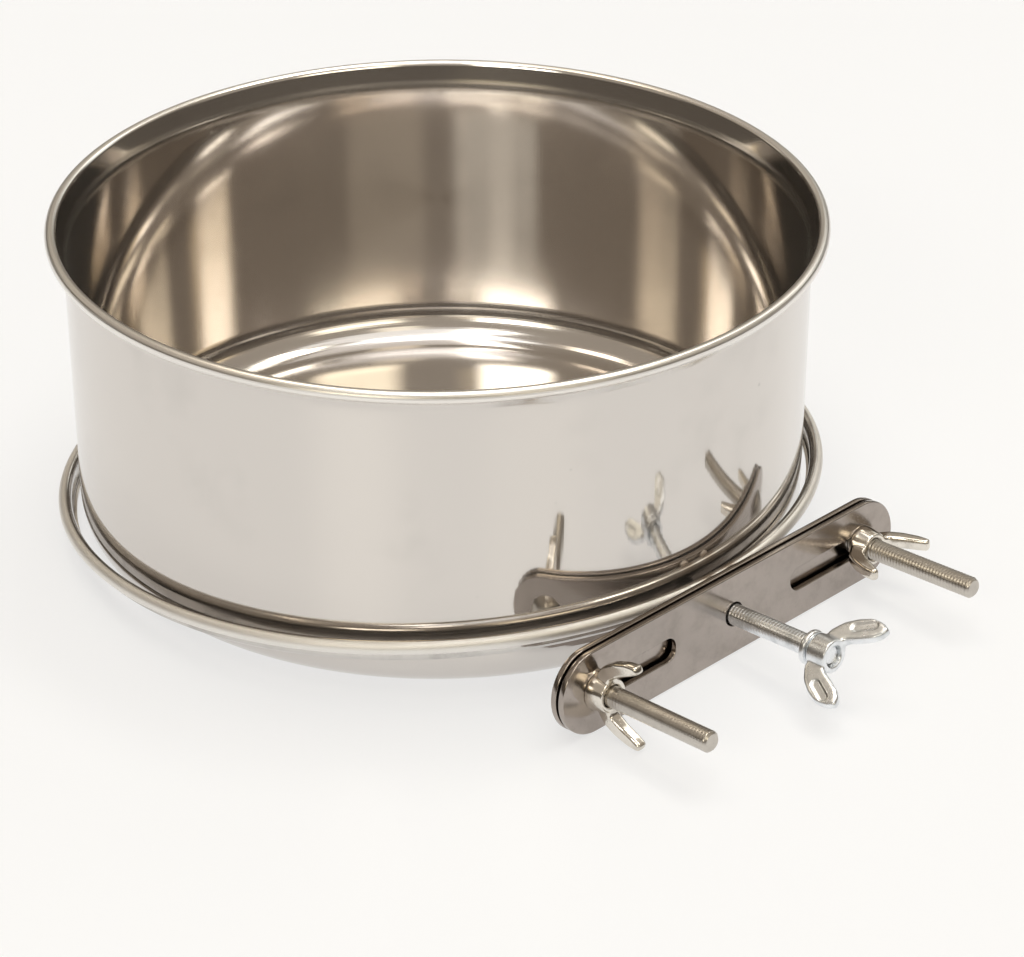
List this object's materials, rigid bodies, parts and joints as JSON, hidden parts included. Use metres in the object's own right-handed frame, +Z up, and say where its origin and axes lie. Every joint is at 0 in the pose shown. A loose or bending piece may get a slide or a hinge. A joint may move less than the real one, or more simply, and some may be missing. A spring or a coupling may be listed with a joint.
{
  "type": "clamp-on seed cup",
  "caption": "Polished sheet-steel seed cup with a rolled rim, standing in its loose clamp-on holder ring with slotted clamp plates, wing nuts and a wing screw.",
  "frame": {"origin": "on the cup's axis, in the plane that the cup's bottom and the loose holder rest on", "axes": "+Z up the cup's axis; -Y towards the clamp plates; the holder leans 4.27 degrees about X, its ring lower at +Y"},
  "size_m": [0.1504, 0.1841, 0.0635],
  "materials": {
    "polished_stainless": "mirror-polished stainless steel with faint polishing lines",
    "ring_stainless": "polished stainless steel, softer than the cup, with heat tint at the weld spots",
    "nickel_plate": "satin nickel plating",
    "zinc_plate": "bright bluish zinc plating"
  },
  "bodies": {
    "holder": {"holder_ring": "ring_stainless", "back_plate": "nickel_plate", "left_bolt": "nickel_plate", "right_bolt": "nickel_plate"},
    "cup": {"cup": "polished_stainless"},
    "clamp": {"clamp_plate": "nickel_plate"},
    "left_nut": {"left_wing_nut": "nickel_plate"},
    "right_nut": {"right_wing_nut": "nickel_plate"},
    "lock_collar": {"lock_washer": "zinc_plate"},
    "lock": {"lock_screw": "zinc_plate", "lock_wing": "zinc_plate"}
  },
  "joints": [
    {"name": "cup_lift", "type": "slide", "parent": "holder", "child": "cup", "axis": [0, 0, 1], "range_m": [0, 0.08]},
    {"name": "clamp_slide", "type": "slide", "parent": "holder", "child": "clamp", "axis": [0, -0.9972, 0.0744], "range_m": [-0.0005, 0.0175]},
    {"name": "left_nut_turn", "type": "hinge", "parent": "clamp", "child": "left_nut", "pos_m": [-0.0355, -0.07806, 0.0082], "axis": [0, -0.9972, 0.0744], "range_deg": [-258, 9001]},
    {"name": "right_nut_turn", "type": "hinge", "parent": "clamp", "child": "right_nut", "pos_m": [0.0355, -0.07806, 0.0082], "axis": [0, -0.9972, 0.0744], "range_deg": [-258, 9001]},
    {"name": "lock_travel", "type": "slide", "parent": "holder", "child": "lock_collar", "axis": [0, -0.9972, 0.0744], "range_m": [0, 0.0049]},
    {"name": "lock_turn", "type": "hinge", "parent": "lock_collar", "child": "lock", "pos_m": [0, -0.0973, 0.00964], "axis": [0, -0.9972, 0.0744], "range_deg": [0, 2521]}
  ],
  "couplings": [
    {"joint": "left_nut_turn", "follows": "clamp_slide", "rad_per_m": 8976},
    {"joint": "right_nut_turn", "follows": "clamp_slide", "rad_per_m": 8976},
    {"joint": "lock_turn", "follows": "lock_travel", "rad_per_m": 8976}
  ]
}
